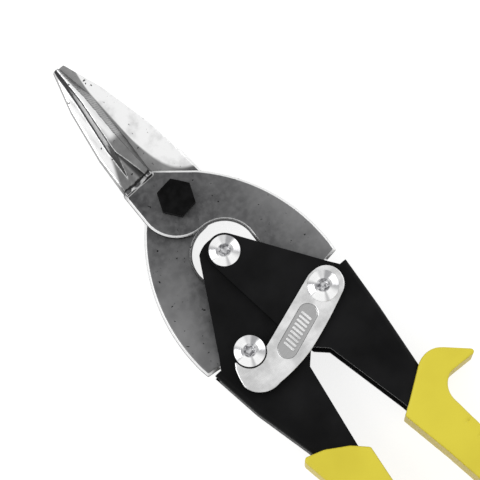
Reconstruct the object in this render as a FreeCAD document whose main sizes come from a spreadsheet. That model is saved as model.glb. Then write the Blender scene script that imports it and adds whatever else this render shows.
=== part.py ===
"""Compound-action aviation snips, modelled closed and latched.

Frame: +Y runs from the handles to the jaw tips, +X to the right seen from the front, +Z up from
the table that the snips lie on. The origin is on the pivot bolt's axis, in the plane of the
table, which the bolt's tail, its nut and the flat backs of both grips touch.

The two blades are the same forging, one turned half over about the Y axis. So are the handles,
except that the left channel nests inside the right one.
"""
import FreeCAD, Part
import math
import os
import Sketcher
from FreeCAD import Placement, Rotation, Vector

doc = FreeCAD.newDocument("aviation_snips")

# ------------------------------------------------------------------ driving sizes, millimetres
SIZES = {
    # heights
    "grip_wall": 1.75,          # grip over the outer channel's faces, table side and front
    "shear_gap": 0.1,           # between the two blades
    "blade_thick": 4.0,
    "plate_thick": 1.5,         # sheet of the handle channels
    "side_gap": 0.3,            # between moving plates
    "head_gap": 0.1,            # under a head or washer that something turns below
    "running_fit": 0.05,        # radial, pins in turning holes
    "loose_fit": 0.75,          # radial, centre rivet in the left handle
    # linkage
    "centre_drop": 23.5,        # bolt to centre rivet
    "pin_drop": 53.5,           # bolt to arm rivets, along Y
    "pin_half": 15.9,           # arm rivets either side of the middle
    # blade plan
    "hub_radius": 12.8,
    "window_radius": 10.7,      # arms' inner bend round the lugs
    "arm_margin": 12.0,         # arm rivet to the front arm's furthest reach, along X
    "back_arm_margin": 15.2,
    "arm_bow": 61.0,            # radius of the arm's outer edge
    "arm_step": 4.8,            # front arm's outer end to the channel's shoulder, along Y
    "back_arm_step": 1.9,
    "arm_shoulder": 5.0,        # width of the square end outside the handle
    "boss_radius": 7.5,         # round the arm rivet
    "neck_x": 11.4,             # hub's upper right corner
    "neck_y": 2.6,
    "throat_x": 0.3,            # where the hub meets the cutting edge
    "throat_y": 12.4,
    "edge_break": 0.7,          # chamfer of the forging's edges
    # pivot bolt
    "bolt_radius": 3.17,
    "hex_flats": 11.1,
    "bolt_head": 4.2,
    "bolt_chamfer": 0.7,
    "washer_radius": 6.6,
    "washer_thick": 0.8,
    # rivets and their washers
    "rivet_radius": 2.5,
    "head_radius": 5.2,
    "head_height": 1.7,
    "head_rim": 0.6,
    "head_flat": 2.9,
    "latch_neck": 1.9,          # thin stretch of the left rivet that the latch hooks
    "burr_radius": 4.6,
    "burr_thick": 0.6,
    "tail_radius": 3.8,
    "tail_height": 0.9,
    "sleeve_radius": 3.6,
    # spring
    "wire": 1.5,
    "coil_radius": 5.0,         # centre of the wire
    "coil_turns": 3.5,
    "leg_end_x": 6.2,
    "leg_end_drop": 46.0,
    # handles
    "lug_radius": 5.9,          # round the centre rivet
    "lug_shoulder_x": 5.07,     # where the lug's round meets the sloping edge, from the rivet
    "lug_shoulder_y": 3.0,
    "left_lug_round": 9.0,      # the left lug is fuller on its outer side
    "left_lug_shoulder_x": 7.0,
    "left_lug_shoulder_y": 4.5,
    "channel_margin": 11.6,     # arm rivet to the right channel's outer top corner, along X
    "left_channel_margin": 13.4,
    "channel_rise": 1.9,        # the same, along Y
    "bend_radius": 1.9,
    "handle_end": 182.0,        # bolt to the end of the channel
    # latch
    "latch_thick": 1.8,
    "latch_washer": 0.4,
    "latch_washer_radius": 4.4,
    "latch_round": 5.9,         # round end over the right rivet
    "hook_radius": 5.45,        # notch round the left rivet's neck
    "latch_back": 13.7,         # arm rivets to the hook's lowest edge
    # grips
    "grip_side": 2.6,           # grip over the channel's edges
    "grip_end_wall": 8.0,       # grip past the end of the channel
    "horn_reach": 38.2,         # tip of the right grip's thumb stop
    "horn_drop": 101.0,
    # jaw
    "jaw_length": 58.5,
}

# Cross-sections of the jaw. Each has its place as a share of the way from the throat to the tip, then in
# millimetres the outer edge, the cutting edge, the rib's two crest corners, the crest's height,
# the hollow beside the rib and the outer edge's height, all from the shear plane.
JAW_SECTIONS = {
    "root": dict(share=-0.028, out=-11.9, cut=0.0, crest=-0.6, back=-5.2, top=7.6, dip=-7.8, low=5.4, rim=5.6),
    "waist": dict(share=0.302, out=-10.4, cut=1.5, crest=-0.9, back=-4.6, top=6.5, dip=-6.3, low=3.4, rim=3.2),
    "fore": dict(share=0.6955, out=-6.8, cut=2.4, crest=0.0, back=-1.9, top=5.0, dip=-3.3, low=2.7, rim=2.4),
    "tip": dict(share=1.0, out=-2.3, cut=0.5, crest=-0.2, back=-0.8, top=3.1, dip=-1.5, low=2.6, rim=2.2),
}
for station, numbers in JAW_SECTIONS.items():
    for field, number in numbers.items():
        SIZES["jaw_" + station + "_" + field] = number

# The handles' lower part: distance from the bolt along Y, inner edge and outer edge.
HANDLE_STATIONS = {
    "shank": (99.0, 10.0, 21.1),
    "palm": (122.0, 12.8, 21.2),
    "swell": (150.0, 15.9, 22.9),
}
for station, numbers in HANDLE_STATIONS.items():
    for field, number in zip(("drop", "near", "far"), numbers):
        SIZES["handle_" + station + "_" + field] = number
SIZES["handle_tail_near"] = 17.4
SIZES["handle_tail_far"] = 22.4

sheet = doc.addObject("Spreadsheet::Sheet", "Sizes")
for row, (word, number) in enumerate(SIZES.items(), start=1):
    sheet.set("A%d" % row, word)
    sheet.set("B%d" % row, str(number))
    sheet.setAlias("B%d" % row, word)
doc.recompute()


class Dim:
    """A size that carries its number and the sheet formula that gives it."""

    def __init__(self, value, text):
        self.value = float(value)
        self.text = text

    @staticmethod
    def of(other):
        if isinstance(other, Dim):
            return other
        return Dim(other, repr(float(other)))

    def join(self, other, sign, value):
        return Dim(value, "(%s %s %s)" % (self.text, sign, other.text))

    def __add__(self, other):
        other = Dim.of(other)
        return self.join(other, "+", self.value + other.value)

    def __sub__(self, other):
        other = Dim.of(other)
        return self.join(other, "-", self.value - other.value)

    def __mul__(self, other):
        other = Dim.of(other)
        return self.join(other, "*", self.value * other.value)

    def __truediv__(self, other):
        other = Dim.of(other)
        return self.join(other, "/", self.value / other.value)

    def __neg__(self):
        return Dim(-self.value, "(0 - %s)" % self.text)

    def __radd__(self, other):
        return Dim.of(other) + self

    def __rsub__(self, other):
        return Dim.of(other) - self

    def __rmul__(self, other):
        return Dim.of(other) * self


class Sizes:
    """Reads a size from the sheet by its word."""

    def __getattr__(self, word):
        return Dim(sheet.get(word), "Sizes." + word)

    def named(self, *words):
        return getattr(self, "_".join(words))


size = Sizes()

# ------------------------------------------------------------------ heights worked out
blade_half = size.blade_thick + size.shear_gap / 2                   # middle to a blade's outer face
left_inner = blade_half + size.side_gap                              # left channel, inside half height
left_outer = left_inner + size.plate_thick
right_inner = left_outer + size.side_gap
right_outer = right_inner + size.plate_thick
mid_height = right_outer + size.grip_wall                            # table to the shear plane
front_face = mid_height + size.shear_gap / 2                         # front blade's shear face
front_boss = right_inner - size.side_gap                             # half height of each arm boss
back_boss = blade_half
latch_bottom = mid_height + right_outer + size.latch_washer + size.head_gap
latch_top = latch_bottom + size.latch_thick
nut_height = mid_height - blade_half - size.head_gap - size.washer_thick
hex_corner = size.hex_flats / math.sqrt(3.0)

# ------------------------------------------------------------------ places worked out
channel_top = size.pin_drop - size.channel_rise
grip_end = size.handle_end + size.grip_end_wall


# ------------------------------------------------------------------ drawing helpers
def new_body(label):
    body = doc.addObject("PartDesign::Body", label)
    body.Label = label
    return body


def new_sketch(body, name, role, offset):
    sketch = body.newObject("Sketcher::SketchObject", name)
    planes = [feature for feature in body.Origin.OriginFeatures if feature.Role == role]
    sketch.AttachmentSupport = [(planes[0], "")]
    sketch.MapMode = "FlatFace"
    sketch.setExpression("AttachmentOffset.Base.z", Dim.of(offset).text)
    return sketch


def pin_point(sketch, geometry, position, x, y):
    """Fixes a sketch point at x, y from the sketch's origin."""
    for kind, axis, place in (("DistanceX", -2, Dim.of(x)), ("DistanceY", -1, Dim.of(y))):
        if abs(place.value) < 1e-9:
            sketch.addConstraint(Sketcher.Constraint("PointOnObject", geometry, position, axis))
            continue
        if place.value > 0:
            number = sketch.addConstraint(
                Sketcher.Constraint(kind, -1, 1, geometry, position, place.value))
            sketch.setExpression("Constraints[%d]" % number, place.text)
        else:
            number = sketch.addConstraint(
                Sketcher.Constraint(kind, geometry, position, -1, 1, -place.value))
            sketch.setExpression("Constraints[%d]" % number, (-place).text)


def draw_outline(sketch, corners):
    """Closes an outline through corners (x, y) or (x, y, radius).

    A radius makes the stretch to the next corner an arc: positive with its centre on the left of
    the way round, negative with it on the right.
    """
    ends = []
    for index, corner in enumerate(corners):
        following = corners[(index + 1) % len(corners)]
        start = Vector(Dim.of(corner[0]).value, Dim.of(corner[1]).value, 0)
        finish = Vector(Dim.of(following[0]).value, Dim.of(following[1]).value, 0)
        if len(corner) == 2:
            number = sketch.addGeometry(Part.LineSegment(start, finish))
            ends.append((number, 1, 2))
            continue
        radius = Dim.of(corner[2])
        chord = finish - start
        reach = math.sqrt(max(radius.value ** 2 - chord.Length ** 2 / 4, 0.0))
        side = 1 if radius.value > 0 else -1
        left = Vector(-chord.y, chord.x, 0).normalize()
        centre = (start + finish) * 0.5 + left * (reach * side)
        first, last = (start, finish) if side > 0 else (finish, start)
        angles = [math.atan2(p.y - centre.y, p.x - centre.x) for p in (first, last)]
        if angles[1] < angles[0]:
            angles[1] += 2 * math.pi
        circle = Part.Circle(centre, Vector(0, 0, 1), abs(radius.value))
        number = sketch.addGeometry(Part.ArcOfCircle(circle, angles[0], angles[1]))
        bound = sketch.addConstraint(Sketcher.Constraint("Radius", number, abs(radius.value)))
        sketch.setExpression("Constraints[%d]" % bound, (radius if side > 0 else -radius).text)
        ends.append((number, 1, 2) if side > 0 else (number, 2, 1))
    for index, (number, begin, _) in enumerate(ends):
        before, _, tail = ends[index - 1]
        sketch.addConstraint(Sketcher.Constraint("Coincident", before, tail, number, begin))
        pin_point(sketch, number, begin, corners[index][0], corners[index][1])


def draw_circle(sketch, x, y, radius):
    place = Vector(Dim.of(x).value, Dim.of(y).value, 0)
    number = sketch.addGeometry(Part.Circle(place, Vector(0, 0, 1), radius.value))
    bound = sketch.addConstraint(Sketcher.Constraint("Radius", number, radius.value))
    sketch.setExpression("Constraints[%d]" % bound, radius.text)
    pin_point(sketch, number, 3, x, y)


def add_pad(body, name, height, length, corners=None, circle=None):
    """Raises an outline or a circle by length above height."""
    sketch = new_sketch(body, name + "_sketch", "XY_Plane", height)
    if corners:
        draw_outline(sketch, corners)
    else:
        draw_circle(sketch, *circle)
    pad = body.newObject("PartDesign::Pad", name)
    pad.Profile = sketch
    pad.setExpression("Length", Dim.of(length).text)
    doc.recompute()
    return pad


def add_pocket(body, name, height, half=None, corners=None, circle=None):
    """Cuts an outline or a circle half above and half below height, or right through."""
    sketch = new_sketch(body, name + "_sketch", "XY_Plane", height)
    if corners:
        draw_outline(sketch, corners)
    else:
        draw_circle(sketch, *circle)
    before = body.Shape.Volume
    pocket = body.newObject("PartDesign::Pocket", name)
    pocket.Profile = sketch
    pocket.SideType = "Symmetric"
    if half is None:
        pocket.Type = "ThroughAll"
    else:
        pocket.Type = "Length"
        pocket.setExpression("Length", (half * 2).text)
    doc.recompute()
    assert body.Shape.Volume < before, name + " cut nothing"
    return pocket


def dress(body, kind, name, amount, chosen):
    """Chamfers or fillets the edges of the body that the test picks."""
    base = body.Tip
    edges = ["Edge%d" % (i + 1) for i, edge in enumerate(base.Shape.Edges) if chosen(edge)]
    assert edges, name + " found no edge"
    feature = body.newObject("PartDesign::" + kind, name)
    feature.Base = (base, edges)
    feature.setExpression("Size" if kind == "Chamfer" else "Radius", Dim.of(amount).text)
    doc.recompute()
    return feature


def lies_flat_at(edge, height):
    box = edge.BoundBox
    return abs(box.ZMin - height) < 1e-4 and abs(box.ZMax - height) < 1e-4


def turn_over(body):
    """Turns a body half over about the Y axis at the shear plane."""
    body.Placement = Placement(Vector(0, 0, 2 * mid_height.value), Rotation(Vector(0, 1, 0), 180))
    body.setExpression("Placement.Base.z", (mid_height * 2).text)


# ------------------------------------------------------------------ blades
def blade_outline(margin, step):
    arm_out = size.pin_half + margin
    arm_end = channel_top - step
    pin_left = size.pin_half - size.boss_radius
    pin_right = size.pin_half + size.boss_radius
    return [
        (-size.hub_radius, 0, size.hub_radius),
        (0, -size.hub_radius, -size.window_radius),
        (size.window_radius, -(size.hub_radius + size.window_radius)),
        (pin_left, -size.pin_drop, size.boss_radius),
        (size.pin_half, -(size.pin_drop + size.boss_radius), size.boss_radius),
        (pin_right, -size.pin_drop),
        (arm_out - size.arm_shoulder, -(arm_end + 0.6)),
        (arm_out - 0.4, -arm_end),
        (arm_out, -(arm_end - 3.0), size.arm_bow),
        (size.neck_x, size.neck_y),
        (size.throat_x, size.throat_y),
        (-size.hub_radius + 0.6, size.throat_y),
    ]


def jaw_corners(station):
    def at(field):
        return size.named("jaw", station, field)
    return [
        (at("out"), front_face),
        (at("cut"), front_face),
        (at("crest"), front_face + at("top")),
        (at("back"), front_face + at("top")),
        (at("dip"), front_face + at("low")),
        (at("out") + 0.5, front_face + at("rim")),
    ]


def make_blade(label, boss_half, margin, step):
    body = new_body(label)
    add_pad(body, label + "_plate", front_face, size.blade_thick,
            corners=blade_outline(margin, step))
    dress(body, "Chamfer", label + "_edge_break", size.edge_break,
          lambda edge: lies_flat_at(edge, (front_face + size.blade_thick).value))
    dress(body, "Chamfer", label + "_arm_break", size.edge_break,
          lambda edge: lies_flat_at(edge, front_face.value) and edge.BoundBox.YMax < 3)
    sketches = []
    for station in JAW_SECTIONS:
        place = size.throat_y + size.named("jaw", station, "share") * (size.jaw_length - size.throat_y)
        sketch = new_sketch(body, label + "_jaw_" + station, "XZ_Plane", -place)
        draw_outline(sketch, jaw_corners(station))
        sketches.append(sketch)
    doc.recompute()
    jaw = body.newObject("PartDesign::AdditiveLoft", label + "_jaw")
    jaw.Profile = sketches[0]
    jaw.Sections = sketches[1:]
    jaw.Ruled = True
    doc.recompute()
    add_pad(body, label + "_boss", mid_height - boss_half, boss_half * 2,
            circle=(size.pin_half, -size.pin_drop, size.boss_radius))
    add_pocket(body, label + "_bolt_hole", mid_height,
               circle=(0, 0, size.bolt_radius + size.running_fit))
    add_pocket(body, label + "_rivet_hole", mid_height,
               circle=(size.pin_half, -size.pin_drop, size.rivet_radius + size.running_fit))
    return body


# ------------------------------------------------------------------ handles and grips
def shank_corners(top_drop, top_near, top_far):
    """The channel's lower part from top_drop down, with its inner edge first."""
    inner = [(top_near, -top_drop)]
    outer = [(top_far, -top_drop)]
    for station in HANDLE_STATIONS:
        drop = size.named("handle", station, "drop")
        inner.append((size.named("handle", station, "near"), -drop))
        outer.append((size.named("handle", station, "far"), -drop))
    inner.append((size.handle_tail_near, -size.handle_end))
    outer.append((size.handle_tail_far, -size.handle_end))
    return inner + outer[::-1]


def handle_outline(channel_corner, lug_round, shoulder_x, shoulder_y):
    knee_drop = size.pin_drop + 16.3
    lower = shank_corners(knee_drop, size.pin_half - 11.5, channel_corner - 2.1)
    return [
        (0, -size.centre_drop + size.lug_radius, size.lug_radius),
        (-size.lug_radius, -size.centre_drop),
        (-3.2, -size.pin_drop),
        (0.7, -(size.pin_drop + 12.6)),
    ] + lower + [
        (channel_corner, -channel_top),
        (channel_corner - 2.6, -channel_top),
        (channel_corner - 4.8, -(channel_top - 3.2)),
        (shoulder_x, -(size.centre_drop - shoulder_y), lug_round),
    ]


def hollow_outline(channel_corner):
    """The channel's inside: all but the web along the outer edge."""
    wall = size.plate_thick
    corners = [(-30, 0), (-30, -(size.handle_end + 10))]
    corners.append((size.handle_tail_far - wall, -(size.handle_end + 10)))
    for station in reversed(HANDLE_STATIONS):
        drop = size.named("handle", station, "drop")
        corners.append((size.named("handle", station, "far") - wall, -drop))
    corners.append((channel_corner - 2.1 - wall, -(size.pin_drop + 16.3)))
    corners.append((channel_corner - wall, -(channel_top + 2)))
    corners.append((channel_corner + 10, -(channel_top + 2)))
    corners.append((channel_corner + 10, 0))
    return corners


def make_handle(label, inner_half, outer_half, centre_fit, channel_corner, *lug):
    body = new_body(label)
    add_pad(body, label + "_block", mid_height - outer_half, outer_half * 2,
            corners=handle_outline(channel_corner, *lug))
    top = (mid_height + outer_half).value
    bottom = (mid_height - outer_half).value
    web_top = -(channel_top + 1).value

    def on_web(edge):
        box = edge.BoundBox
        flat = lies_flat_at(edge, top) or lies_flat_at(edge, bottom)
        return flat and box.YMax < web_top + 2 and box.XMin > 20.9 and box.YLength > 5
    dress(body, "Fillet", label + "_bend", size.bend_radius, on_web)
    add_pocket(body, label + "_hollow", mid_height, half=inner_half, corners=hollow_outline(channel_corner))
    add_pocket(body, label + "_centre_hole", mid_height,
               circle=(0, -size.centre_drop, size.rivet_radius + centre_fit))
    add_pocket(body, label + "_arm_hole", mid_height,
               circle=(size.pin_half, -size.pin_drop, size.rivet_radius))
    return body


def grip_lower_edge():
    """Both grips' inner edge, rounded end and outer edge, up to the swell."""
    side = size.grip_side
    return [
        (size.handle_shank_near - side, -(size.handle_shank_drop + 3.3)),
        (size.handle_palm_near - side, -(size.handle_palm_drop - 1.0)),
        (size.handle_swell_near - side + 0.3, -size.handle_swell_drop),
        (size.handle_tail_near - side, -(grip_end - 9.0), 9.0),
        (size.handle_tail_near + 0.2, -(grip_end - 1.0), 5.0),
        (size.handle_tail_near + 3.2, -grip_end, 5.5),
        (size.handle_tail_far + side, -(grip_end - 7.0), 60.0),
        (size.handle_swell_far + side + 0.1, -size.handle_swell_drop),
    ]


def right_grip_outline():
    return grip_lower_edge() + [
        (size.handle_palm_far + 2.4, -(size.handle_palm_drop - 2.0)),
        (size.handle_palm_far + 1.7, -(size.horn_drop + 7.6), -7.0),
        (size.horn_reach - 10.0, -(size.horn_drop + 0.5)),
        (size.horn_reach - 1.2, -(size.horn_drop + 1.0), 1.0),
        (size.horn_reach - 0.3, -(size.horn_drop - 0.7)),
        (size.horn_reach - 6.9, -(size.horn_drop - 7.2), 7.5),
        (size.horn_reach - 12.4, -(size.horn_drop - 9.4), 9.0),
        (size.handle_shank_far + 0.7, -(size.horn_drop - 8.2)),
        (size.handle_shank_near + 2.3, -(size.handle_shank_drop + 0.2)),
    ]


def left_grip_outline():
    return grip_lower_edge() + [
        (size.handle_palm_far + 3.0, -(size.handle_palm_drop - 2.0)),
        (size.handle_shank_far + 4.1, -(size.handle_shank_drop + 4.0)),
        (size.handle_shank_far + 5.5, -(size.handle_shank_drop - 6.6), 1.6),
        (size.handle_shank_far + 4.1, -(size.handle_shank_drop - 8.1)),
        (size.handle_shank_far - 1.9, -(size.handle_shank_drop - 6.0)),
        (size.handle_shank_near + 2.0, -(size.handle_shank_drop - 1.4)),
    ]


def make_grip(label, outline, channel_half, channel_corner):
    body = new_body(label)
    add_pad(body, label + "_block", 0, mid_height * 2, corners=outline)
    add_pocket(body, label + "_socket", mid_height, half=channel_half,
               corners=shank_corners(size.pin_drop + 16.3, size.pin_half - 11.5,
                                     channel_corner - 2.1))
    return body


# ------------------------------------------------------------------ turned pieces
def make_turned(label, x, y, profile):
    """Turns a half profile of (radius, height) corners about the upright line at x, y."""
    body = new_body(label)
    sketch = new_sketch(body, label + "_profile", "XZ_Plane", 0)
    draw_outline(sketch, profile)
    turned = body.newObject("PartDesign::Revolution", label + "_turned")
    turned.Profile = sketch
    turned.ReferenceAxis = (sketch, ["V_Axis"])
    turned.Angle = 360
    body.Placement = Placement(Vector(Dim.of(x).value, Dim.of(y).value, 0), Rotation())
    body.setExpression("Placement.Base.x", Dim.of(x).text)
    body.setExpression("Placement.Base.y", Dim.of(y).text)
    doc.recompute()
    return body


def make_ring(label, x, y, bottom, thick, outer, inner):
    return make_turned(label, x, y, [
        (inner, bottom),
        (outer, bottom),
        (outer, bottom + thick),
        (inner, bottom + thick),
    ])


def make_rivet(label, x, y, head_bottom, tail_top, neck=None):
    """A domed rivet. tail_top is the face that its closed end bears on, on the back."""
    head_top = head_bottom + size.head_height
    tail = tail_top - size.tail_height
    corners = [
        (0, tail),
        (size.tail_radius - 1.0, tail),
        (size.tail_radius, tail + 0.5),
        (size.tail_radius, tail_top),
        (size.rivet_radius, tail_top),
    ]
    if neck is None:
        corners.append((size.rivet_radius, head_bottom))
    else:
        corners.append((size.rivet_radius, neck))
        corners.append((size.latch_neck, neck))
        corners.append((size.latch_neck, head_bottom))
    corners += [
        (size.head_radius, head_bottom),
        (size.head_radius, head_bottom + size.head_rim),
        (size.head_flat, head_top),
        (0, head_top),
    ]
    body = make_turned(label, x, y, corners)
    sides = 5
    star = []
    for step in range(2 * sides):
        reach = 1.9 if step % 2 == 0 else 1.25
        angle = math.pi * step / sides + math.pi / 2
        star.append((reach * math.cos(angle), reach * math.sin(angle)))
    add_pocket(body, label + "_star", head_top, half=size.head_height / 2, corners=star)
    return body


def make_bolt():
    """The hexagon-headed pivot bolt, its head on the front blade and its tail on the table."""
    head_bottom = front_face + size.blade_thick
    body = new_body("pivot_bolt")
    add_pad(body, "bolt_shank", 0, head_bottom + size.bolt_head / 2,
            circle=(0, 0, size.bolt_radius))
    add_pad(body, "bolt_hexagon", head_bottom, size.bolt_head, corners=hexagon())
    chamfer_cone(body, "bolt_head_bevel", head_bottom + size.bolt_head)
    return body


def hexagon():
    angles = [math.radians(5.5 + 60.0 * corner) for corner in range(6)]
    return [(hex_corner * math.cos(angle), hex_corner * math.sin(angle)) for angle in angles]


def chamfer_cone(body, name, top):
    """Bevels the corners of a hexagon's upper face by turning a triangle round it."""
    sketch = new_sketch(body, name + "_sketch", "XZ_Plane", 0)
    bevel = size.bolt_chamfer
    draw_outline(sketch, [
        (hex_corner - bevel, top + 0.01),
        (hex_corner + 0.6, top - (bevel + 0.6) * 0.577),
        (hex_corner + 0.6, top + 0.01),
    ])
    groove = body.newObject("PartDesign::Groove", name)
    groove.Profile = sketch
    groove.ReferenceAxis = (sketch, ["V_Axis"])
    groove.Angle = 360
    doc.recompute()


def make_nut():
    body = new_body("pivot_nut")
    add_pad(body, "nut_hexagon", 0, nut_height, corners=hexagon())
    add_pocket(body, "nut_thread", 0, circle=(0, 0, size.bolt_radius))
    return body


# ------------------------------------------------------------------ latch and spring
def make_latch():
    body = new_body("latch")
    right = size.pin_half
    line = size.pin_drop
    hook = size.hook_radius
    corners = [
        (right + 1.3, -line + size.latch_round, 9.0),
        (right - 1.5, -line + size.latch_round * 0.975),
        (-right + hook * 0.893, -line - hook * 0.45, -hook),
        (-right, -line - hook, -hook),
        (-right - hook, -line),
        (-right - hook - 0.5, -line + 0.5),
        (-right - 7.2, -line - 1.2, 22.0),
        (-right - 8.9, -line - 7.5, 7.5),
        (-right - 5.6, -line - 12.7, 7.5),
        (-right + 0.4, -line - size.latch_back - 0.4, 55.0),
        (right - 14.4, -line - 12.2, 150.0),
        (right + 3.0, -line - size.latch_round * 0.98, size.latch_round * 1.05),
        (right + 1.3 + size.latch_round, -line, size.latch_round),
    ]
    add_pad(body, "latch_plate", latch_bottom, size.latch_thick, corners=corners)
    add_pocket(body, "latch_hole", latch_bottom,
               circle=(right, -line, size.rivet_radius + size.running_fit))
    return body


def make_spring():
    """The torsion spring round the centre sleeve, with one leg along each blade's arm."""
    wire = size.wire.value / 2
    pitch = size.wire.value * 1.08
    rise = pitch * size.coil_turns.value
    helix = Part.makeHelix(pitch, rise, size.coil_radius.value)
    start, finish = [vertex.Point for vertex in helix.Vertexes]
    section = Part.Wire([Part.makeCircle(wire, start, Vector(0, 1, 0))])
    shape = Part.Wire(helix.Edges).makePipeShell([section], True, True)
    drop = size.leg_end_drop.value - size.centre_drop.value
    for point, side in ((start, 1), (finish, -1)):
        way = Vector(side * size.leg_end_x.value, -drop, point.z) - point
        # A hair thinner than the coil, so that the two join along a clean edge.
        leg = Part.makeCylinder(wire * 0.985, way.Length, point, way)
        shape = shape.fuse(leg)
    assert len(shape.Solids) == 1, "a spring leg is loose"
    spring = doc.addObject("Part::Feature", "opening_spring")
    spring.Label = "opening_spring"
    spring.Shape = shape
    low = mid_height.value - rise / 2
    spring.Placement = Placement(Vector(0, -size.centre_drop.value, low), Rotation())
    return spring


# ------------------------------------------------------------------ the assembly
front_blade = make_blade("front_blade", front_boss, size.arm_margin, size.arm_step)
back_blade = make_blade("back_blade", back_boss, size.back_arm_margin, size.back_arm_step)
turn_over(back_blade)
right_corner = size.pin_half + size.channel_margin
left_corner = size.pin_half + size.left_channel_margin
right_handle = make_handle("right_handle", right_inner, right_outer, 0, right_corner,
                           size.lug_radius, size.lug_shoulder_x, size.lug_shoulder_y)
left_handle = make_handle("left_handle", left_inner, left_outer, size.loose_fit, left_corner,
                          size.left_lug_round, size.left_lug_shoulder_x, size.left_lug_shoulder_y)
turn_over(left_handle)
right_grip = make_grip("right_grip", right_grip_outline(), right_outer, right_corner)
left_grip = make_grip("left_grip", left_grip_outline(), left_outer, left_corner)
turn_over(left_grip)

pivot_bolt = make_bolt()
pivot_nut = make_nut()
pivot_washer = make_ring("pivot_washer", 0, 0, nut_height, size.washer_thick,
                         size.washer_radius, size.bolt_radius)

right_back = mid_height - right_outer - size.burr_thick
left_back = mid_height - left_outer - size.burr_thick
centre_rivet = make_rivet("centre_rivet", 0, -size.centre_drop,
                          mid_height + right_outer, right_back)
right_rivet = make_rivet("right_arm_rivet", size.pin_half, -size.pin_drop,
                         latch_top + size.head_gap, right_back)
left_rivet = make_rivet("left_arm_rivet", -size.pin_half, -size.pin_drop,
                        latch_top + size.side_gap, left_back,
                        neck=mid_height + left_outer)
for label, x, drop, back in (
        ("centre_rivet_burr", 0, size.centre_drop, right_back),
        ("right_rivet_burr", size.pin_half, size.pin_drop, right_back),
        ("left_rivet_burr", -size.pin_half, size.pin_drop, left_back)):
    make_ring(label, x, -drop, back, size.burr_thick, size.burr_radius, size.rivet_radius)
sleeve = make_ring("spring_sleeve", 0, -size.centre_drop, mid_height - left_inner + 0.1,
                   left_inner * 2 - 0.2, size.sleeve_radius, size.rivet_radius)
latch = make_latch()
latch_washer = make_ring("latch_washer", size.pin_half, -size.pin_drop,
                         mid_height + right_outer, size.latch_washer,
                         size.latch_washer_radius, size.rivet_radius)
opening_spring = make_spring()

# ------------------------------------------------------------------ checks and files
doc.recompute()
for item in doc.Objects:
    faults = [state for state in item.State if state in ("Invalid", "Error")]
    assert not faults, "%s is %s" % (item.Label, faults)

os.makedirs("parts", exist_ok=True)
for item in doc.Objects:
    if item.TypeId not in ("PartDesign::Body", "Part::Feature"):
        continue
    shape = item.Shape
    assert not shape.isNull() and shape.isValid(), item.Label + " has no valid shape"
    assert len(shape.Solids) >= 1, item.Label + " holds no solid"
    shape.exportStep("parts/%s.step" % item.Label)
    box = shape.BoundBox
    print("%-18s %8.1f mm3  x %6.1f %6.1f  y %7.1f %6.1f  z %5.1f %5.1f  solids %d" % (
        item.Label, shape.Volume, box.XMin, box.XMax, box.YMin, box.YMax, box.ZMin, box.ZMax,
        len(shape.Solids)))
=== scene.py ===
# %% [markdown]
# # Aviation snips
# A lesson in cells. The snips have two forged blades that cross at a black bolt, two folded steel
# handles riveted to the blades' arms, a pressed latch that hooks the handles shut, and two yellow
# moulded grips. The exact solids come from the frame. Here the blades, rivets, latch and grips get
# softened edges and small details, and every piece gets its finish.

# %% Load the frame
import math

import bpy
from mathutils import Euler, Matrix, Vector


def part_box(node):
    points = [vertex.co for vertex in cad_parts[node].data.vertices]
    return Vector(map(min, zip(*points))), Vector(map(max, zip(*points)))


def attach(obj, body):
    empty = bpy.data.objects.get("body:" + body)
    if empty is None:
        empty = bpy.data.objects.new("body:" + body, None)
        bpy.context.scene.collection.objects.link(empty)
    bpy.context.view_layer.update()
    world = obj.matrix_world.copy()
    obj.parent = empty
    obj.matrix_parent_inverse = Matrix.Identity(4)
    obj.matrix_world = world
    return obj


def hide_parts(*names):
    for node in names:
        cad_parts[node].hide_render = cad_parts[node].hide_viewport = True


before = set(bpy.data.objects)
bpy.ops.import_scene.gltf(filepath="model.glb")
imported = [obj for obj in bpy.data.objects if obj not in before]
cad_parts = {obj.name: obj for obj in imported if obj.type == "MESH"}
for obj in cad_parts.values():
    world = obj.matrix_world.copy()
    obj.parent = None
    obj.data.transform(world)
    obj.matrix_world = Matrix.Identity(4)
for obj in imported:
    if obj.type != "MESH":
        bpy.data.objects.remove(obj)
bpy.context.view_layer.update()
MM = 0.001

# %% [markdown]
# ## Camera
# The snips lie flat and are seen from almost straight above, turned so that the jaws point to
# the upper left. A long lens keeps the two handles nearly the same size. The camera is placed by
# a point that it looks at, a distance and three turns, because that is easy to adjust by eye.

# %% Camera
AIM = Vector((6.73, -23.38, 9.4)) * MM
DISTANCE = 1301.5 * MM
TURNS = Euler((0.1401, 0.0102, -0.7301), "XYZ")

bpy.ops.object.camera_add(location=AIM + TURNS.to_matrix() @ Vector((0, 0, DISTANCE)),
                          rotation=TURNS)
camera = bpy.context.object
camera.data.lens = 300
camera.data.sensor_width = 36
camera.data.clip_start = 10 * MM
camera.data.clip_end = 20
bpy.context.scene.camera = camera
print("camera at", camera.location)

# %% [markdown]
# ## Small helpers for finishes
# Every finish is a Principled shader with patterns on Object coordinates, which are the frame's
# own metres. So a pattern can follow the part: a mask can say "above the hub" or "on a sloping
# edge", and stays where it is when the part moves.

# %% Helpers for finishes
NOISE_ROUGHNESS = 0.55


def grey(level, blue=0.0):
    """A grey, with a little more blue where it is wanted."""
    return (level, level, level + blue)


def new_finish(name, colour, metal, rough):
    """A Principled material. Its colour is a plain stand-in until a pattern is linked to it."""
    material = bpy.data.materials.new(name)
    material.use_nodes = True
    set_input(material, "Base Color", colour)
    set_input(material, "Metallic", metal)
    set_input(material, "Roughness", rough)
    return material


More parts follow.
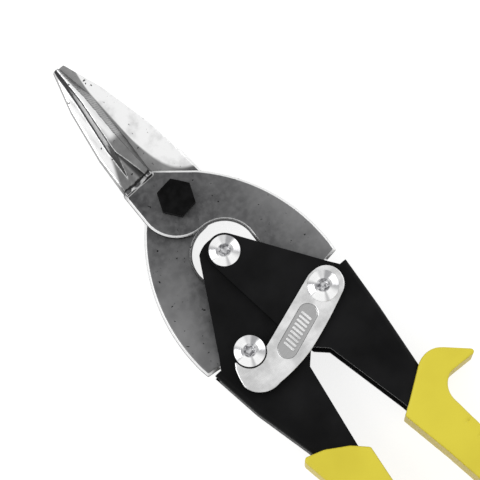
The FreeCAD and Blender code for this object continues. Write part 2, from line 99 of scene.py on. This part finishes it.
def feed(material, socket, value):
    """Links a socket to an input, or sets a plain number or colour on it."""
    if isinstance(value, bpy.types.NodeSocket):
        material.node_tree.links.new(value, socket)
    elif isinstance(value, (tuple, list)):
        socket.default_value = (*value, 1) if len(value) == 3 else value
    else:
        socket.default_value = value


def set_input(material, name, value):
    """Sets or links one input of the material's shader."""
    feed(material, material.node_tree.nodes["Principled BSDF"].inputs[name], value)


def coordinates(material, kind="Object"):
    return material.node_tree.nodes.new("ShaderNodeTexCoord").outputs[kind]


def parts_of(material, vector):
    """The X, Y and Z of a vector."""
    split = material.node_tree.nodes.new("ShaderNodeSeparateXYZ")
    feed(material, split.inputs[0], vector)
    return split.outputs


def mapped(material, place=(0, 0, 0), turn=0.0, scale=(1, 1, 1)):
    """Object coordinates moved, turned about Z and stretched."""
    mapping = material.node_tree.nodes.new("ShaderNodeMapping")
    feed(material, mapping.inputs["Vector"], coordinates(material))
    mapping.inputs["Location"].default_value = place
    mapping.inputs["Rotation"].default_value = (0, 0, turn)
    mapping.inputs["Scale"].default_value = scale
    return mapping.outputs[0]


def noise(material, size, detail, vector=None):
    """Noise whose blotches are about size metres across."""
    node = material.node_tree.nodes.new("ShaderNodeTexNoise")
    feed(material, node.inputs["Vector"], vector or coordinates(material))
    node.inputs["Scale"].default_value = 1 / size
    node.inputs["Detail"].default_value = detail
    node.inputs["Roughness"].default_value = NOISE_ROUGHNESS
    return node.outputs[0]


def ramp(material, value, low, high, to_low=0.0, to_high=1.0):
    """Turns low..high into to_low..to_high with soft ends."""
    node = material.node_tree.nodes.new("ShaderNodeMapRange")
    node.interpolation_type = "SMOOTHSTEP"
    feed(material, node.inputs["Value"], value)
    node.inputs["From Min"].default_value = low
    node.inputs["From Max"].default_value = high
    node.inputs["To Min"].default_value = to_low
    node.inputs["To Max"].default_value = to_high
    return node.outputs[0]


def math_of(material, operation, first, second=0.0):
    node = material.node_tree.nodes.new("ShaderNodeMath")
    node.operation = operation
    feed(material, node.inputs[0], first)
    feed(material, node.inputs[1], second)
    return node.outputs[0]


def plus(material, first, second):
    return math_of(material, "ADD", first, second)


def times(material, first, *others):
    """The product. For masks it is the part that they all share."""
    product = first
    for other in others:
        product = math_of(material, "MULTIPLY", product, other)
    return product


def mixed(material, share, first, second):
    """The first colour where share is 0, the second where it is 1."""
    node = material.node_tree.nodes.new("ShaderNodeMix")
    node.data_type = "RGBA"
    # Inputs 6 and 7 and output 2 are the colour ones. The others belong to the other data types.
    feed(material, node.inputs[0], share)
    feed(material, node.inputs[6], first)
    feed(material, node.inputs[7], second)
    return node.outputs[2]


def add_bump(material, height, distance, strength):
    node = material.node_tree.nodes.new("ShaderNodeBump")
    node.inputs["Strength"].default_value = strength
    node.inputs["Distance"].default_value = distance
    feed(material, node.inputs["Height"], height)
    set_input(material, "Normal", node.outputs[0])


def wear(piece, material):
    piece.data.materials.clear()
    piece.data.materials.append(material)

# %% [markdown]
# ## Floor and light
# Bright steel shows whatever is round it, so the room matters more than the lamps. An even pale
# sky, a little darker low down, lights the rounded edges, and one large soft lamp gives the grips
# and handles their shape. The floor glows a little, like a light table, so that shade stays pale
# even in the small window behind the centre rivet.

# %% Floor, sky and lamps
FLOOR_SIZE = 6
FLOOR_GAP = 0.2 * MM        # under the snips, so that nothing shares a plane with the floor

bpy.ops.mesh.primitive_plane_add(size=FLOOR_SIZE, location=(0, 0, -FLOOR_GAP))
floor = bpy.context.object
floor.name = "floor"
floor_finish = new_finish("pale_floor", grey(0.3), metal=0.0, rough=0.9)
set_input(floor_finish, "Emission Color", grey(1))
set_input(floor_finish, "Emission Strength", 0.8)
set_input(floor_finish, "Specular IOR Level", 0.1)
wear(floor, floor_finish)

world = bpy.data.worlds.new("studio")
bpy.context.scene.world = world
world.use_nodes = True
sky = world.node_tree
way_up = sky.nodes.new("ShaderNodeSeparateXYZ")
sky_coordinates = sky.nodes.new("ShaderNodeTexCoord")
sky.links.new(sky_coordinates.outputs["Generated"], way_up.inputs[0])
sky_ramp = sky.nodes.new("ShaderNodeValToRGB")
low_sky, high_sky = sky_ramp.color_ramp.elements
low_sky.color = (0.9, 0.9, 0.9, 1)
high_sky.color = (1, 1, 1, 1)
sky.links.new(way_up.outputs["Z"], sky_ramp.inputs[0])
sky.links.new(sky_ramp.outputs[0], sky.nodes["Background"].inputs["Color"])
sky.nodes["Background"].inputs["Strength"].default_value = 0.95


def soft_lamp(name, place, power, size):
    """A square lamp at place that looks at the middle of the snips."""
    bpy.ops.object.light_add(type="AREA", location=place)
    lamp = bpy.context.object
    lamp.name = name
    lamp.data.energy = power
    lamp.data.size = size
    lamp.rotation_euler = (AIM - Vector(place)).to_track_quat("-Z", "Y").to_euler()


soft_lamp("key_lamp", place=(-0.55, 0.35, 0.75), power=3.0, size=0.5)
soft_lamp("fill_lamp", place=(0.75, -0.15, 0.55), power=1.5, size=0.6)
bpy.context.scene.view_settings.view_transform = "Standard"

# %% [markdown]
# ## Small helpers for modelling
# A frame node is fixed, so a piece that needs softer edges starts as a copy of it. The copy is
# merged, because the frame's mesh is loose triangles. Voxel remesh gives it small even faces, and
# a smoothing pass then rounds every edge alike, as tumbling, pressing and moulding do.


# %% Helpers for modelling
MERGE_GAP = 0.002 * MM      # corners nearer than this are one corner


def use_only(piece):
    bpy.ops.object.select_all(action="DESELECT")
    piece.select_set(True)
    bpy.context.view_layer.objects.active = piece


def copy_of(node, name):
    """A free copy of a frame node, merged into one closed mesh."""
    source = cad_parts[node]
    piece = source.copy()
    piece.data = source.data.copy()
    piece.data.materials.clear()
    piece.name = name
    piece.parent = None
    for word in list(piece.keys()):
        del piece[word]
    bpy.context.scene.collection.objects.link(piece)
    use_only(piece)
    bpy.ops.object.mode_set(mode="EDIT")
    bpy.ops.mesh.select_all(action="SELECT")
    bpy.ops.mesh.remove_doubles(threshold=MERGE_GAP)
    bpy.ops.object.mode_set(mode="OBJECT")
    return piece


def pick_faces(piece, test):
    """Selects the faces that pass the test, and leaves the piece in edit mode."""
    use_only(piece)
    bpy.ops.object.mode_set(mode="EDIT")
    bpy.ops.mesh.select_mode(type="FACE")
    bpy.ops.mesh.select_all(action="DESELECT")
    bpy.ops.object.mode_set(mode="OBJECT")
    for face in piece.data.polygons:
        face.select = test(face.center, face.normal)
    bpy.ops.object.mode_set(mode="EDIT")


def apply_modifier(piece, kind, **settings):
    use_only(piece)
    bpy.ops.object.modifier_add(type=kind)
    modifier = piece.modifiers[-1]
    for word, value in settings.items():
        setattr(modifier, word, value)
    bpy.ops.object.modifier_apply(modifier=modifier.name)


def cut_away(piece, cutter):
    apply_modifier(piece, "BOOLEAN", object=cutter, operation="DIFFERENCE", solver="EXACT")
    bpy.data.objects.remove(cutter)


def soften(piece, voxel, passes):
    """Rounds every edge of a closed piece, more with larger voxels and more passes."""
    apply_modifier(piece, "REMESH", mode="VOXEL", voxel_size=voxel, adaptivity=0.0)
    apply_modifier(piece, "SMOOTH", factor=0.5, iterations=passes)
    use_only(piece)
    bpy.ops.object.shade_smooth()
    print(piece.name, len(piece.data.polygons), "faces")


def place_on(piece, body, slot, *nodes):
    """The piece rides on a body and stands for the frame's nodes."""
    use_only(piece)
    bpy.ops.object.transform_apply(location=True, rotation=True, scale=True)
    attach(piece, body)
    if nodes:
        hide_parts(*nodes)


# %% [markdown]
# ## Forged steel
# The blades are forged and tumbled: mottled grey with tiny dark pits, worn bright on every sloping
# edge and given a painted highlight there, with painted shade on upright walls. The jaws are
# ground, so they are much brighter. A blade's finish covers both, with masks for the place on the
# blade and for the way a face looks. The noise sizes and the limits of the place masks are lengths.
# Those of the other masks run from 0 to 1.


# %% Forged steel
def steel_body(steel, place, level):
    """The mottled grey of the hub and arm, brighter towards the arm's end, worn bright with a
    painted highlight on sloping edges and painted shade on upright walls.
    """
    mottle = ramp(steel, noise(steel, 14 * MM, detail=6), 0.3, 0.75)
    body = mixed(steel, mottle, grey(0.058, 0.002), grey(0.120, 0.002))
    grain = ramp(steel, noise(steel, 2.2 * MM, detail=5), 0.35, 0.7)
    body = mixed(steel, times(steel, grain, 0.4), body, grey(0.17, 0.002))
    arm_end = ramp(steel, math_of(steel, "ABSOLUTE", place["X"]), 10 * MM, 30 * MM)
    arm_end = times(steel, arm_end, ramp(steel, noise(steel, 20 * MM, detail=2), 0.25, 0.6), 0.7)
    body = mixed(steel, arm_end, body, grey(0.25, 0.002))
    # Painted shade: faces that stand upright are darkened as if in shadow.
    body = mixed(steel, ramp(steel, level, 0.2, 0.05), body, grey(0.035, 0.001))
    # Sloping edges are worn bright and also carry a painted highlight.
    worn_edge_and_highlight = times(steel, ramp(steel, level, 0.985, 0.86), ramp(steel, level, 0.2, 0.5),
                 ramp(steel, place["Y"], 16 * MM, 8 * MM), 0.9)
    return mixed(steel, worn_edge_and_highlight, body, grey(0.85))


def cross_lines(steel):
    """Fine slanting lines left by the grinding wheel."""
    line_gap = 0.75 * MM
    wobble = times(steel, noise(steel, 3 * MM, detail=2), 6.0)
    turned = parts_of(steel, mapped(steel, turn=math.radians(-47)))
    phase = plus(steel, times(steel, turned["X"], 2 * math.pi / line_gap), wobble)
    return ramp(steel, math_of(steel, "SINE", phase), -0.6, 0.8)


def front_jaw_colour(steel, place, facing, level, body):
    """White crest strip and flank, grey inner face and grey root, with painted shade on the hollow
    wall, the outer wall and the root's slopes, and a painted shadow line at the hub.
    """
    streaks = noise(steel, 3 * MM, detail=3,
                    vector=mapped(steel, turn=0.1, scale=(1.0, 0.1, 1.0)))
    bright = mixed(steel, ramp(steel, streaks, 0.25, 0.6), grey(0.42), grey(0.86))

    # The jaw's outer edge keeps the same value of this all the way to the tip.
    from_outer_edge = plus(steel, place["X"], times(steel, place["Y"], -0.206))
    # Painted shade: the hollow's steep wall is darkened as if in shadow.
    hollow_wall_shade = times(steel, ramp(steel, facing["X"], -0.12, -0.4), ramp(steel, level, 0.45, 0.6),
                        ramp(steel, from_outer_edge, -14.0 * MM, -13.6 * MM))
    bright = mixed(steel, hollow_wall_shade, bright, grey(0.05, 0.002))
    # Painted shade: the jaw's upright outer wall is darkened as if in shadow.
    outer_wall_shade = times(steel, ramp(steel, level, 0.5, 0.3), ramp(steel, facing["X"], -0.3, -0.5))
    bright = mixed(steel, outer_wall_shade, bright, grey(0.2))
    inner_face = mixed(steel, cross_lines(steel), grey(0.16, 0.002), grey(0.33))
    bright = mixed(steel, ramp(steel, facing["X"], 0.14, 0.3), bright, inner_face)

    # The root is grey inside a slanting line and below the strip.
    slant = plus(steel, place["X"], times(steel, place["Y"], -0.45))
    root = times(steel, ramp(steel, slant, -18.5 * MM, -17.0 * MM),
                 ramp(steel, place["Y"], 30 * MM, 27 * MM))
    root_grey = mixed(steel, noise(steel, 4 * MM, detail=4), grey(0.10), grey(0.27))
    # Painted shade: the root's sloping faces are darker than their level neighbours.
    root_grey = mixed(steel, ramp(steel, level, 0.75, 0.95), grey(0.06), root_grey)
    bright = mixed(steel, root, bright, root_grey)
    colour = mixed(steel, ramp(steel, place["Y"], 11.8 * MM, 13.5 * MM), body, bright)

    # A ragged painted shadow line, standing for the shadow of the step, parts the root from the
    # hub, on the upper side only.
    ragged = plus(steel, place["Y"], times(steel, noise(steel, 1.6 * MM, detail=2), 1.6 * MM))
    from_line = math_of(steel, "ABSOLUTE", math_of(steel, "SUBTRACT", ragged, 13.4 * MM))
    step_shadow = times(steel, ramp(steel, from_line, 0.6 * MM, 0.2 * MM),
                    ramp(steel, place["X"], 0.5 * MM, -1.0 * MM),
                    ramp(steel, place["Z"], 12.5 * MM, 13.3 * MM))
    return mixed(steel, step_shadow, colour, grey(0.02))


def back_jaw_colour(steel, place, level, body):
    """A bright flat shear face with painted shade on upright walls, grey beyond a root curve and at
    the very tip.

    Gives the colour and the mask of the bright face.
    """
    root_curve = times(steel, place["X"], place["Y"])
    past_root = times(steel, ramp(steel, root_curve, 54 * MM ** 2, 70 * MM ** 2),
                      ramp(steel, place["Y"], 2 * MM, 4 * MM))
    tip_shift = times(steel, ramp(steel, place["Y"], 44 * MM, 60 * MM), 1.8 * MM)
    from_tip_line = math_of(steel, "SUBTRACT", place["X"], tip_shift)
    clear = times(steel, past_root, ramp(steel, from_tip_line, 2.2 * MM, 2.7 * MM))
    cloud = ramp(steel, noise(steel, 5 * MM, detail=5), 0.25, 0.55)
    shear_face = mixed(steel, cloud, grey(0.68), grey(0.90))
    # Painted shade: upright walls of the shear face are darkened as if in shadow.
    shear_face = mixed(steel, ramp(steel, level, 0.5, 0.3), shear_face, grey(0.22))
    root = mixed(steel, noise(steel, 4 * MM, detail=3), grey(0.16), grey(0.34))
    dull = mixed(steel, ramp(steel, place["Y"], 3 * MM, 10 * MM), body, root)
    return mixed(steel, clear, dull, shear_face), clear


def forged_steel(name):
    """Starts a blade's finish. Gives the material, the place, the facing and how level it is."""
    steel = new_finish(name, grey(0.12), metal=1.0, rough=0.4)
    place = parts_of(steel, coordinates(steel))
    facing = parts_of(steel, coordinates(steel, "Normal"))
    level = math_of(steel, "ABSOLUTE", facing["Z"])
    return steel, place, facing, level


def finish_steel(steel, colour, ground):
    """Adds the pits, the smoother ground area and the fine relief."""
    pits = ramp(steel, noise(steel, 1.5 * MM, detail=2), 0.31, 0.27)
    set_input(steel, "Base Color", mixed(steel, pits, colour, grey(0.012)))
    set_input(steel, "Roughness", ramp(steel, ground, 0, 1, to_low=0.44, to_high=0.28))
    fine = times(steel, noise(steel, 0.9 * MM, detail=3), 0.4)
    add_bump(steel, math_of(steel, "SUBTRACT", fine, pits), distance=0.06 * MM, strength=0.5)


front_steel, place, facing, level = forged_steel("front_blade_steel")
front_body = steel_body(front_steel, place, level)
finish_steel(front_steel, front_jaw_colour(front_steel, place, facing, level, front_body),
             ground=ramp(front_steel, place["Y"], 12 * MM, 20 * MM))

back_steel, place, _, level = forged_steel("back_blade_steel")
back_colour, bright_face = back_jaw_colour(back_steel, place, level,
                                           steel_body(back_steel, place, level))
finish_steel(back_steel, back_colour, ground=bright_face)

# %% [markdown]
# ## Black finishes
# The handles have a flat black coat that shows the sheet's faint unevenness, and the bolt and nut
# have an oily black oxide. Both need a low specular level, or the pale room turns them grey. The
# spring, its sleeve and the latch's washer are dark bare steel.

# %% Black finishes
handle_black = new_finish("handle_black", grey(0.010, 0.001), metal=0.0, rough=0.48)
set_input(handle_black, "Specular IOR Level", 0.07)
cloud = ramp(handle_black, noise(handle_black, 18 * MM, detail=4), 0.3, 0.75)
set_input(handle_black, "Base Color",
          mixed(handle_black, cloud, grey(0.0020, 0.0002), grey(0.0070, 0.0004)))
coat_grain = noise(handle_black, 0.7 * MM, detail=3)
set_input(handle_black, "Roughness",
          ramp(handle_black, coat_grain, 0.3, 0.7, to_low=0.4, to_high=0.56))
add_bump(handle_black, coat_grain, distance=0.04 * MM, strength=0.5)

oxide_black = new_finish("oxide_black", grey(0.010, 0.001), metal=0.0, rough=0.4)
set_input(oxide_black, "Specular IOR Level", 0.05)
oxide_cloud = ramp(oxide_black, noise(oxide_black, 3 * MM, detail=5), 0.35, 0.7)
set_input(oxide_black, "Base Color",
          mixed(oxide_black, oxide_cloud, grey(0.001), grey(0.0045, 0.0002)))
add_bump(oxide_black, noise(oxide_black, 0.8 * MM, detail=3), distance=0.05 * MM, strength=0.6)

spring_dark = new_finish("spring_dark", grey(0.09, 0.005), metal=1.0, rough=0.33)
set_input(spring_dark, "Base Color",
          mixed(spring_dark, noise(spring_dark, 2 * MM, detail=4),
                grey(0.05, 0.002), grey(0.16, 0.005)))

for finish, nodes in ((handle_black, ("right_handle", "left_handle")),
                      (oxide_black, ("pivot_bolt", "pivot_nut", "pivot_washer")),
                      (spring_dark, ("opening_spring", "spring_sleeve", "latch_washer"))):
    for node in nodes:
        wear(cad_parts[node], finish)

# %% [markdown]
# ## Blades
# Each blade is one forging: jaw, round hub and curved arm. The frame's solid has its true shape
# with crisp edges. The front jaw's root is scooped out with a cone lying on its top, before the
# edges are softened. The step beside the hub gets only a ragged painted shadow line in the finish.


# %% Blades
def lying_cone(tip, end, wide):
    """A cutter whose blunt point is at tip and whose wide end is at end."""
    way = end - tip
    bpy.ops.mesh.primitive_cone_add(vertices=24, radius1=wide, radius2=0.1 * MM, depth=way.length,
                                    location=(tip + end) / 2,
                                    rotation=(-way).to_track_quat("Z", "Y").to_euler())
    return bpy.context.object


front_blade = copy_of("front_blade", "front_blade_forging")
jaw_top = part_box("front_blade")[1].z
scoop_tip = Vector((-5.2 * MM, 28.0 * MM, jaw_top - 0.7 * MM))
scoop_end = Vector((-6.4 * MM, 10.4 * MM, jaw_top + 0.9 * MM))
cut_away(front_blade, lying_cone(scoop_tip, scoop_end, wide=4.4 * MM))
back_blade = copy_of("back_blade", "back_blade_forging")

for blade, node, finish in ((front_blade, "front_blade", front_steel),
                            (back_blade, "back_blade", back_steel)):
    soften(blade, voxel=0.28 * MM, passes=4)
    wear(blade, finish)
    place_on(blade, node, "blade_steel", node)

# %% [markdown]
# ## Rivets
# Three domed rivets hold the linkage, each with a small star punched in its head. A bright zinc
# dome reflects wedges of light and dark, so a painted reflection changes the colour wedge by wedge
# round the rivet's own middle, and painted shade makes it grey where the star is.


# %% Rivets
def zinc_with_painted_light(name, middle):
    zinc = new_finish(name, grey(0.86, 0.01), metal=1.0, rough=0.16)
    to_middle = (-middle[0], -middle[1], 0)
    turn = zinc.node_tree.nodes.new("ShaderNodeTexGradient")
    turn.gradient_type = "RADIAL"
    feed(zinc, turn.inputs[0], mapped(zinc, place=to_middle))
    # Painted reflection: wedges of light and dark go round the middle, as a bright dome reflects
    # them.
    reflection_wedges = zinc.node_tree.nodes.new("ShaderNodeTexNoise")
    reflection_wedges.noise_dimensions = "1D"
    reflection_wedges.inputs["Scale"].default_value = 6.0
    reflection_wedges.inputs["Detail"].default_value = 1.0
    feed(zinc, reflection_wedges.inputs["W"], turn.outputs[0])
    reflection_tone = ramp(zinc, reflection_wedges.outputs[0], 0.38, 0.6)
    painted_reflection = mixed(zinc, reflection_tone, grey(0.40, 0.01), grey(0.98))

    from_middle = zinc.node_tree.nodes.new("ShaderNodeVectorMath")
    from_middle.operation = "LENGTH"
    feed(zinc, from_middle.inputs[0], mapped(zinc, place=to_middle, scale=(1, 1, 0)))
    # Painted shade: the punched star's recess is greyer, with darker and lighter facets.
    star_shade_area = ramp(zinc, from_middle.outputs["Value"], 2.4 * MM, 2.0 * MM)
    facet_shading = ramp(zinc, noise(zinc, 1.2 * MM, detail=2), 0.35, 0.65)
    star_shade = mixed(zinc, facet_shading, grey(0.16, 0.01), grey(0.62, 0.01))
    set_input(zinc, "Base Color", mixed(zinc, star_shade_area, painted_reflection, star_shade))
    add_bump(zinc, noise(zinc, 0.9 * MM, detail=2), distance=0.05 * MM, strength=0.5)
    return zinc


RIVET_BODIES = {"centre_rivet": "right_handle", "right_arm_rivet": "right_handle",
                "left_arm_rivet": "left_handle"}
for node, body in RIVET_BODIES.items():
    low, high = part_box(node)
    rivet = copy_of(node, node + "_domed")
    soften(rivet, voxel=0.13 * MM, passes=3)
    wear(rivet, zinc_with_painted_light(node + "_zinc", middle=(low + high) / 2))
    place_on(rivet, body, "zinc_plate", node)

plain_zinc = new_finish("plain_zinc", grey(0.6), metal=1.0, rough=0.3)
set_input(plain_zinc, "Base Color",
          mixed(plain_zinc, noise(plain_zinc, 3 * MM, detail=4), grey(0.45), grey(0.75, -0.01)))
for node in ("centre_rivet_burr", "right_rivet_burr", "left_rivet_burr"):
    wear(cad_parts[node], plain_zinc)

# %% [markdown]
# ## Latch
# The latch is pressed from plated sheet. A long panel is coined into it, with a row of slanting
# ribs. The panel is cut with a rounded bar, and the ribs are small bars set in it. The softening
# pass makes both look pressed.


# %% Latch
def rounded_bar(start, end, radius, low, high):
    """A bar with round ends from start to end, between two heights."""
    way = end - start
    bpy.ops.mesh.primitive_cylinder_add(vertices=32, radius=radius, depth=high - low)
    bar = bpy.context.object
    bpy.ops.object.mode_set(mode="EDIT")
    bpy.ops.mesh.select_mode(type="VERT")
    bpy.ops.mesh.select_all(action="DESELECT")
    bpy.ops.object.mode_set(mode="OBJECT")
    for point in bar.data.vertices:
        point.select = point.co.x > 0.001 * MM
    bpy.ops.object.mode_set(mode="EDIT")
    bpy.ops.transform.translate(value=(way.length, 0, 0))
    bpy.ops.object.mode_set(mode="OBJECT")
    bar.rotation_euler = (0, 0, math.atan2(way.y, way.x))
    bar.location = (start.x, start.y, (low + high) / 2)
    bpy.ops.object.transform_apply(location=True, rotation=True, scale=True)
    return bar


PANEL_START = Vector((-6.2, -61.0, 0)) * MM
PANEL_END = Vector((6.2, -56.8, 0)) * MM
latch_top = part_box("latch")[1].z
latch = copy_of("latch", "latch_plate")
cut_away(latch, rounded_bar(PANEL_START, PANEL_END, radius=3.3 * MM,
                            low=latch_top - 0.6 * MM, high=latch_top + 1 * MM))
soften(latch, voxel=0.16 * MM, passes=4)

nickel = new_finish("latch_nickel", grey(0.74), metal=1.0, rough=0.26)
plate_cloud = ramp(nickel, noise(nickel, 6 * MM, detail=3), 0.3, 0.7)
plate_grey = mixed(nickel, plate_cloud, grey(0.55), grey(0.80))
# Painted shade: the panel's recessed floor is darker than the plate round it.
panel_floor_shade = ramp(nickel, parts_of(nickel, coordinates(nickel))["Z"],
                latch_top - 0.25 * MM, latch_top - 0.5 * MM)
set_input(nickel, "Base Color", mixed(nickel, panel_floor_shade, plate_grey, grey(0.40)))
brushed = noise(nickel, 1.2 * MM, detail=4,
                vector=mapped(nickel, turn=-0.4, scale=(0.08, 1.0, 1.0)))
set_input(nickel, "Roughness", ramp(nickel, brushed, 0.3, 0.7, to_low=0.2, to_high=0.34))
add_bump(nickel, brushed, distance=0.04 * MM, strength=0.4)
wear(latch, nickel)
place_on(latch, "latch", "latch_plate", "latch")

RIBS = 9
RIB_HALF_LENGTH = 1.7 * MM
RIB_LEAN = 0.35 * MM
panel_way = PANEL_END - PANEL_START
across = Vector((-panel_way.y, panel_way.x, 0)).normalized() * RIB_HALF_LENGTH
half_rib = across + panel_way.normalized() * RIB_LEAN
for count in range(RIBS):
    middle = PANEL_START + panel_way * ((count + 0.6) / (RIBS + 0.2))
    rib = rounded_bar(middle - half_rib, middle + half_rib, radius=0.42 * MM,
                      low=latch_top - 0.8 * MM, high=latch_top - 0.05 * MM)
    rib.name = "latch_rib_%d" % count
    soften(rib, voxel=0.1 * MM, passes=4)
    wear(rib, nickel)
    place_on(rib, "latch", "latch_plate")

# %% [markdown]
# ## Grips
# The grips are soft yellow vinyl moulded over the channels. Their outline and height are the
# frame's. The right one has a curved thumb stop and a row of fine notches behind it. The vinyl has
# a dull sheen, and painted shade makes its upright walls darker.

# %% Grips
grip_yellow = new_finish("grip_yellow", (0.64, 0.54, 0.035), metal=0.0, rough=0.46)
set_input(grip_yellow, "Specular IOR Level", 0.3)
tint_cloud = ramp(grip_yellow, noise(grip_yellow, 30 * MM, detail=3), 0.3, 0.7)
vinyl = mixed(grip_yellow, tint_cloud, (0.53, 0.445, 0.026), (0.60, 0.515, 0.036))
way_out = parts_of(grip_yellow, coordinates(grip_yellow, "Normal"))
# Painted shade: upright walls of the vinyl are darkened.
grip_wall_shade = ramp(grip_yellow, math_of(grip_yellow, "ABSOLUTE", way_out["Z"]), 0.75, 0.3)
vinyl = mixed(grip_yellow, times(grip_yellow, grip_wall_shade, 0.6), vinyl, (0.44, 0.33, 0.035))
set_input(grip_yellow, "Base Color", vinyl)
skin = noise(grip_yellow, 0.6 * MM, detail=3)
set_input(grip_yellow, "Roughness",
          ramp(grip_yellow, skin, 0.3, 0.7, to_low=0.4, to_high=0.52))
add_bump(grip_yellow, skin, distance=0.05 * MM, strength=0.4)

FLAT_GAP = 0.01 * MM        # a face this near to the back is part of the back


def moulded_grip(node, name):
    """Takes the node's flat back, raises it to the full height and leaves a closed block."""
    low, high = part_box(node)
    grip = copy_of(node, name)
    pick_faces(grip, lambda centre, normal: abs(centre.z - low.z) < FLAT_GAP
               and abs(normal.z) > 0.9)
    bpy.ops.mesh.select_all(action="INVERT")
    bpy.ops.mesh.delete(type="FACE")
    bpy.ops.mesh.select_all(action="SELECT")
    bpy.ops.mesh.dissolve_limited(angle_limit=0.02)
    bpy.ops.mesh.select_all(action="SELECT")
    bpy.ops.mesh.extrude_region_move(TRANSFORM_OT_translate={"value": (0, 0, high.z - low.z)})
    bpy.ops.mesh.select_all(action="SELECT")
    bpy.ops.mesh.normals_make_consistent(inside=False)
    bpy.ops.object.mode_set(mode="OBJECT")
    return grip


right_grip = moulded_grip("right_grip", "right_grip_vinyl")
left_grip = moulded_grip("left_grip", "left_grip_vinyl")

NOTCHES = 9
FIRST_NOTCH = -116.5
NOTCH_STEP = 6.0
NOTCH_SLOPE = 0.8           # rise of a notch's outer end, and fall of its inner end
grip_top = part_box("right_grip")[1].z
for count in range(NOTCHES):
    y = (FIRST_NOTCH - NOTCH_STEP * count) * MM
    notch = rounded_bar(Vector((19.8 * MM, y - NOTCH_SLOPE * MM, 0)),
                        Vector((30 * MM, y + NOTCH_SLOPE * MM, 0)), radius=0.5 * MM,
                        low=grip_top - 0.9 * MM, high=grip_top + 1 * MM)
    cut_away(right_grip, notch)

for grip, node, body in ((right_grip, "right_grip", "right_handle"),
                         (left_grip, "left_grip", "left_handle")):
    soften(grip, voxel=0.5 * MM, passes=6)
    wear(grip, grip_yellow)
    place_on(grip, body, "grip_vinyl", node)
